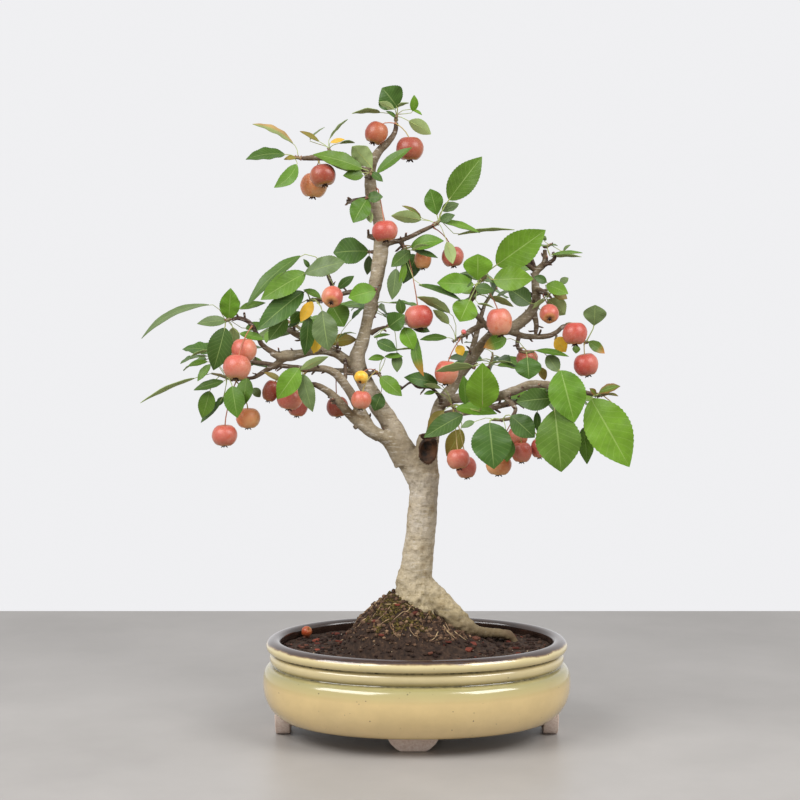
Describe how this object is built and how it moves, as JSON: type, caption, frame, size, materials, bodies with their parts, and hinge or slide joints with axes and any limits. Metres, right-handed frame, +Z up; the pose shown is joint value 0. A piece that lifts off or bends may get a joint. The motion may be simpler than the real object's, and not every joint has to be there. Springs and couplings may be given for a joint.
{
  "type": "crabapple bonsai",
  "caption": "Small crabapple tree in fruit, forked trunk with airy leafy branches, growing from a soil mound in a low glazed oval pot on half-round feet.",
  "frame": {"origin": "centre of the bounding box's footprint, on the plane the pot's feet stand on", "axes": "+Z up along the tree, front towards -Y, +X to the viewer's right"},
  "size_m": [0.4816, 0.2582, 0.6538],
  "materials": {
    "pot_glaze": "glossy cream-yellow glaze with a brown lip, bare clay feet",
    "soil": "moist dark crumbly earth with bark bits and moss",
    "bark": "smooth grey-tan bark with fine cracks",
    "leaf": "satin green leaf, paler underneath",
    "yellow_leaf": "satin yellow autumn leaf",
    "apple": "smooth waxy skin, red over yellow with pale specks"
  },
  "bodies": {
    "root": {"pot": "pot_glaze", "soil": "soil", "trunk_and_branches": "bark", "shoot_crown_tip": "leaf", "shoot_lateral_end": "leaf", "shoot_lateral_mid": "leaf", "shoot_leader_high": "leaf", "shoot_leader_mid": "leaf", "shoot_spur_right": "leaf", "shoot_spur_centre": "leaf", "shoot_leader_left": "leaf", "shoot_left_upper": "leaf", "shoot_left_centre": "leaf", "shoot_leader_elbow": "leaf", "shoot_limb_left_up": "leaf", "shoot_far_left_high": "leaf", "shoot_far_left_low": "leaf", "shoot_left_low": "leaf", "shoot_centre_low": "leaf", "shoot_centre_mid": "leaf", "shoot_right_low": "leaf", "shoot_limb_right": "leaf", "shoot_twig_centre": "leaf", "shoot_right_upper": "leaf", "shoot_right_top": "leaf", "shoot_right_shoulder": "leaf", "shoot_right_mid": "leaf", "shoot_right_inner": "leaf", "shoot_low_front": "leaf", "shoot_low_right": "leaf", "shoot_low_right_end": "leaf", "yellow_leaf_left": "yellow_leaf", "yellow_leaf_right": "yellow_leaf", "shoot_back_left_high": "leaf", "shoot_back_left_low": "leaf", "shoot_back_middle": "leaf", "shoot_back_right_high": "leaf", "shoot_back_right_mid": "leaf", "shoot_back_right_low": "leaf", "fruit_tip": "apple", "fruit_lateral": "apple", "fruit_leader": "apple", "fruit_spur_right": "apple", "fruit_far_left_front": "apple", "fruit_left_centre": "apple", "fruit_centre": "apple", "fruit_right_upper": "apple", "fruit_twig_centre": "apple", "fruit_right_shoulder": "apple", "fruit_right_twig": "apple", "fruit_right_mid": "apple", "fruit_right_inner": "apple", "fruit_far_left_low": "apple", "fruit_left_low": "apple", "fruit_behind_limb": "apple", "fruit_fork": "apple", "fruit_low_centre": "apple", "fruit_low_front": "apple", "fruit_low_right_end": "apple", "fruit_fallen_on_soil": "apple"}
  },
  "joints": []
}
